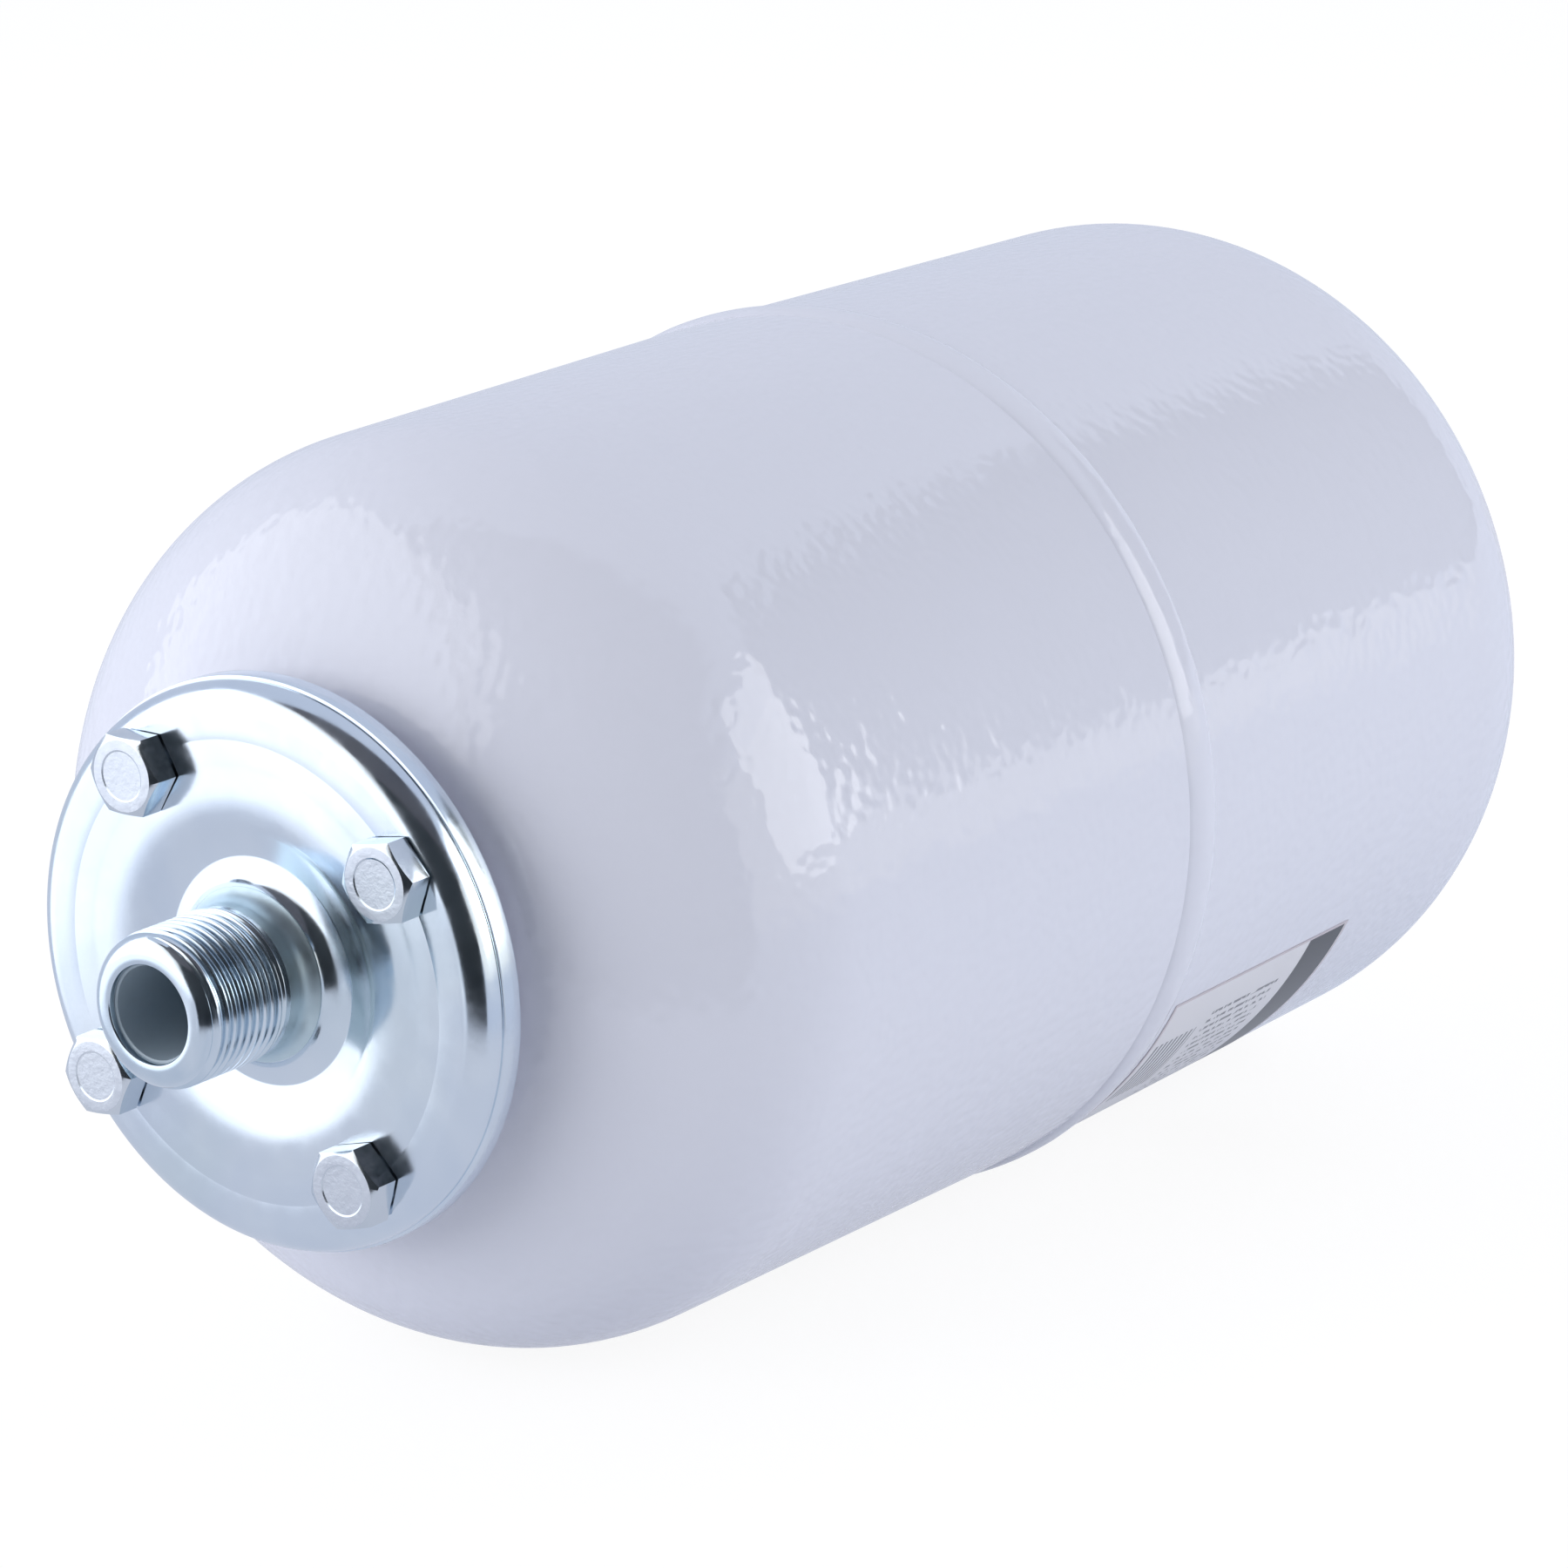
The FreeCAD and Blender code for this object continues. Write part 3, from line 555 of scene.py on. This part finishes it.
# Valve cap: moulded black plastic with grip flutes, screwed over the stem to keep dirt out.
# Its skirt covers the boss, and an inner tube carries the thread.
top, skirt_x, cap_r, cap_round, flute_end, flutes = 341.55, 317.0, 12.0, 1.6, 318.6, 18
shoulder, roof_x, tube_x = top - cap_round, 339.35, 325.9
outline = ([(top, 0)] + [(top, r) for r in (3, 6, 9)]
           + bend((top, cap_r - cap_round), (shoulder, cap_r), (shoulder, cap_r - cap_round), 6)
           + [(shoulder - i * (shoulder - flute_end) / 14, cap_r) for i in range(1, 15)]
           + [(skirt_x, 11.6), (skirt_x, 10.3), (skirt_x + 0.1, 10.2), (roof_x, 10.2), (roof_x, 5.65),
              (tube_x, 5.65), (tube_x, 3.95), (roof_x, 3.95), (roof_x, 0)])
cap = turned("valve_cap_moulded", outline, sides=216, closed=False, smooth=40)
for vertex in cap.data.vertices:
    x, y, z = vertex.co
    out = math.hypot(y, z)
    if out > 11.9 * mm:
        turn = math.atan2(z, y) / (2 * math.pi) * flutes % 1
        near = max(0.0, 1 - abs(turn - 0.5) / 0.22)
        ends = min(max((x / mm - flute_end) / 1.2, 0), 1) * min(max((340.6 - x / mm) / 1.6, 0), 1)
        shrink = 1 - 0.45 * mm * math.sqrt(1 - (1 - near) ** 2) * ends / out
        vertex.co = (x, y * shrink, z * shrink)
black, tree, shader, place = new_material("Black moulded plastic")
haze = speckle(tree, place, 130.0, 3.0)
feed(tree, shader, Base_Color=blend(tree, haze, (0.013, 0.013, 0.014), (0.024, 0.024, 0.026)),
     Roughness=ramp(tree, haze, low=0.34, high=0.5),
     Normal=bump(tree, speckle(tree, place, 2200.0), 0.25, 0.00006))
cap.data.materials.append(black)
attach(cap, "cap")
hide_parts("valve_cap")


# Rating label: a thin printed film stuck on the rear cup, low on the side towards the camera.
# Its print is generic: a border line, a dark end band, grey rows and a block of plain bars.
label_x, label_length, label_top, label_sweep = 170.8, 60.0, -152.6, 36.0
bpy.ops.object.select_all(action="DESELECT")
bpy.ops.mesh.primitive_grid_add(x_subdivisions=24, y_subdivisions=30, size=1)
label = bpy.context.object
label.name = "rating_label"
label.data.name = "rating_label"
for vertex in label.data.vertices:
    u, v = vertex.co.x + 0.5, vertex.co.y + 0.5
    x = label_x + label_length * u
    r = mouth_r - (x - seam_x) * draft + 0.02
    angle = math.radians(label_top + label_sweep * v)
    vertex.co = (x * mm, r * mm * math.cos(angle), r * mm * math.sin(angle))
bpy.ops.object.mode_set(mode="EDIT")
bpy.ops.mesh.select_all(action="SELECT")
bpy.ops.mesh.normals_make_consistent(inside=False)
bpy.ops.object.mode_set(mode="OBJECT")
middle = label.data.polygons[len(label.data.polygons) // 2]
if middle.normal.dot(Vector((0, middle.center.y, middle.center.z))) < 0:
    label.data.flip_normals()
film = label.modifiers.new("Film", "SOLIDIFY")
film.thickness = 0.1 * mm
film.offset = 1
bpy.ops.object.modifier_apply(modifier="Film")
bpy.ops.object.shade_smooth_by_angle(angle=math.radians(30))
print_ink, tree, shader, place = new_material("Printed label film")
sheet_map = add(tree, "ShaderNodeUVMap", uv_map="UVMap").outputs[0]
across = add(tree, "ShaderNodeSeparateXYZ", {0: sheet_map})
u, v = across.outputs[0], across.outputs[1]


def both(a, b):
    """1 where two masks are both 1."""
    return maths(tree, "MULTIPLY", a, b)


def field(left, right, low, high):
    """1 inside a rectangle of the label."""
    return both(both(maths(tree, "GREATER_THAN", u, left), maths(tree, "LESS_THAN", u, right)),
                both(maths(tree, "GREATER_THAN", v, low), maths(tree, "LESS_THAN", v, high)))


def stripes(value, count, gap):
    """1 on the printed part of so many stripes."""
    return maths(tree, "GREATER_THAN", maths(tree, "FRACT", maths(tree, "MULTIPLY", value, count)), gap)


letters = add(tree, "ShaderNodeMapping", {"Vector": sheet_map, "Scale": (60, 22, 1)}).outputs[0]
dashes = maths(tree, "GREATER_THAN", speckle(tree, letters, 1.0, 0.0), 0.47)
rows = both(both(stripes(v, 22.0, 0.62), dashes), field(0.32, 0.70, 0.14, 0.86))
bars = both(stripes(u, 36.0, 0.5), field(0.04, 0.27, 0.22, 0.55))
band = field(0.78, 0.985, -1, 2)
border = maths(tree, "SUBTRACT", 1.0, field(0.012, 0.988, 0.012, 0.988))
paper = blend(tree, speckle(tree, place, 60.0), (0.74, 0.745, 0.79), (0.71, 0.71, 0.76))
inked = blend(tree, maths(tree, "MAXIMUM", rows, bars), paper, (0.16, 0.17, 0.2))
inked = blend(tree, band, inked, (0.035, 0.038, 0.045))
feed(tree, shader, Base_Color=blend(tree, border, inked, (0.55, 0.5, 0.55)))
shader.inputs["Roughness"].default_value = 0.3
label.data.materials.append(print_ink)
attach(label, "vessel")


# Studio: a white floor under the vessel, a soft lamp on the right, a bright window on the left and fills.
# Dark cards round the camera and over it give the plating its dark bands and the coat its grey front.
# The camera stands where the photographer stood, and sees a white background.
def plain_material(name, color, roughness):
    """A material of one colour. Gives the material, its tree, the shader and the place."""
    material, tree, shader, place = new_material(name)
    shader.inputs["Base Color"].default_value = (*color, 1)
    shader.inputs["Roughness"].default_value = roughness
    return material, tree, shader, place


bpy.ops.mesh.primitive_circle_add(vertices=64, radius=6, fill_type="NGON", location=(0.15, 0, -0.0826))
floor = bpy.context.object
floor.name = "floor"
pale, tree, shader, place = plain_material("White floor", (0.85, 0.86, 0.88), 0.9)
path = add(tree, "ShaderNodeLightPath")
by_camera, by_mirror = path.outputs["Is Camera Ray"], path.outputs["Is Glossy Ray"]
seen = maths(tree, "MAXIMUM", by_camera,
             maths(tree, "MAXIMUM", by_mirror, path.outputs["Is Transmission Ray"]))
glow = add(tree, "ShaderNodeEmission", {"Color": blend(tree, by_camera, (0.95, 0.99, 1.14), (1, 1, 1)),
                                        "Strength": ramp(tree, by_camera, low=0.67, high=1.06)})
lit = add(tree, "ShaderNodeMixShader", {0: maths(tree, "MULTIPLY", seen, 0.85), 1: shader.outputs[0],
                                        2: glow.outputs[0]})
# In reflections the floor ends like a table, round the cover on the camera's side and behind the vessel.
away = add(tree, "ShaderNodeVectorMath", {0: place, 1: (-0.144, 0, 0)}, operation="DISTANCE").outputs["Value"]
sideways = add(tree, "ShaderNodeSeparateXYZ", {0: place}).outputs["Y"]
edge = maths(tree, "MULTIPLY", ramp(tree, away, 0.22, 0.30), ramp(tree, sideways, -0.02, 0.06, 1.0, 0.0))
edge = maths(tree, "MAXIMUM", edge, ramp(tree, sideways, 0.135, 0.25, 0.0, 0.75))
table = add(tree, "ShaderNodeMixShader", {0: maths(tree, "MULTIPLY", by_mirror, edge), 1: lit.outputs[0],
                                          2: add(tree, "ShaderNodeBsdfTransparent").outputs[0]})
tree.links.new(table.outputs[0], tree.nodes["Material Output"].inputs["Surface"])
floor.data.materials.append(pale)

world = bpy.data.worlds.new("Studio")
bpy.context.scene.world = world
world.use_nodes = True
tree = world.node_tree
path = add(tree, "ShaderNodeLightPath")
ambient = blend(tree, path.outputs["Is Glossy Ray"], (0.50, 0.52, 0.58), (0.61, 0.66, 0.79))
feed(tree, tree.nodes["Background"], Color=blend(tree, path.outputs["Is Camera Ray"], ambient, (1, 1, 1)))


def facing(azimuth, height, away):
    """A place round the vessel's front half, and the turn of a lamp or card there that faces it."""
    a, h = math.radians(azimuth), math.radians(height)
    way = Vector((math.sin(a) * math.cos(h), -math.cos(a) * math.cos(h), math.sin(h)))
    return Vector((0.06, 0, 0)) + way * away, way.to_track_quat("Z", "Y").to_euler()


def soft_box(name, azimuth, height, away, size, radiance, mirrored=True):
    """A rectangular lamp that faces the vessel. Its radiance is that of a white surface at 1."""
    spot, turn = facing(azimuth, height, away)
    bpy.ops.object.light_add(type="AREA", location=spot)
    lamp = bpy.context.object
    lamp.name = name
    lamp.rotation_euler = turn
    lamp.data.shape = "RECTANGLE"
    lamp.data.size, lamp.data.size_y = size
    lamp.data.energy = radiance * math.pi * size[0] * size[1]
    lamp.visible_glossy = mirrored
    lamp.visible_camera = False


felt = plain_material("Black felt", (0.03, 0.035, 0.04), 1)[0]
grey_felt = plain_material("Grey felt", (0.116, 0.113, 0.126), 1)[0]
screen, tree, shader, place = new_material("Lit screen")
shader.inputs["Base Color"].default_value = (0, 0, 0, 1)
shader.inputs["Emission Color"].default_value = (1, 1, 1, 1)
shader.inputs["Emission Strength"].default_value = 1.05


def card(name, azimuth, height, away, size, surface):
    """A card that the camera doesn't see. The dark ones also take light from the vessel."""
    spot, turn = facing(azimuth, height, away)
    bpy.ops.mesh.primitive_plane_add(size=1, location=spot)
    plane = bpy.context.object
    plane.name = name
    plane.rotation_euler = turn
    plane.scale = (size[0], size[1], 1)
    plane.data.materials.append(surface)
    plane.visible_camera = False
    plane.visible_diffuse = surface is not screen
    plane.visible_transmission = False
    plane.visible_shadow = False


soft_box("side lamp", 26, 23.5, 1.3, (0.92, 0.86), 2.2)
soft_box("left window", -134, 14, 1.6, (2.5, 2.6), 1.05)
soft_box("left fill", -105, 22, 1.5, (1.4, 0.9), 2.15, mirrored=False)
soft_box("top fill", 0, 88, 1.5, (1.6, 1.6), 0.28, mirrored=False)
soft_box("front fill", 12, 6, 1.5, (1.6, 0.4), 1.4, mirrored=False)
soft_box("right fill", 80, 35, 1.5, (1.2, 1.0), 0.85, mirrored=False)
soft_box("back fill", 150, 35, 1.5, (1.2, 1.0), 0.5, mirrored=False)
card("lit_screen", 24, 14.5, 1.45, (2.1, 0.97), screen)
card("card_front", -55, 17.5, 1.65, (3.0, 3.0), felt)
card("card_over", -60, 66, 1.7, (2.8, 1.5), grey_felt)
card("card_right", 64, 22, 1.5, (0.85, 0.95), felt)

bpy.ops.object.camera_add(location=(-0.68538, -0.62472, 0.30321))
camera = bpy.context.object
turn, tilt, roll = math.radians(-53.254), math.radians(90 - 16.352), math.radians(-0.842)
camera.rotation_euler = (Matrix.Rotation(turn, 3, "Z") @ Matrix.Rotation(tilt, 3, "X")
                         @ Matrix.Rotation(roll, 3, "Z")).to_euler()
camera.data.lens = 137.34
camera.data.sensor_width = 36
camera.data.clip_start = 0.05
camera.data.clip_end = 30
bpy.context.scene.camera = camera
bpy.context.scene.view_settings.view_transform = "Standard"
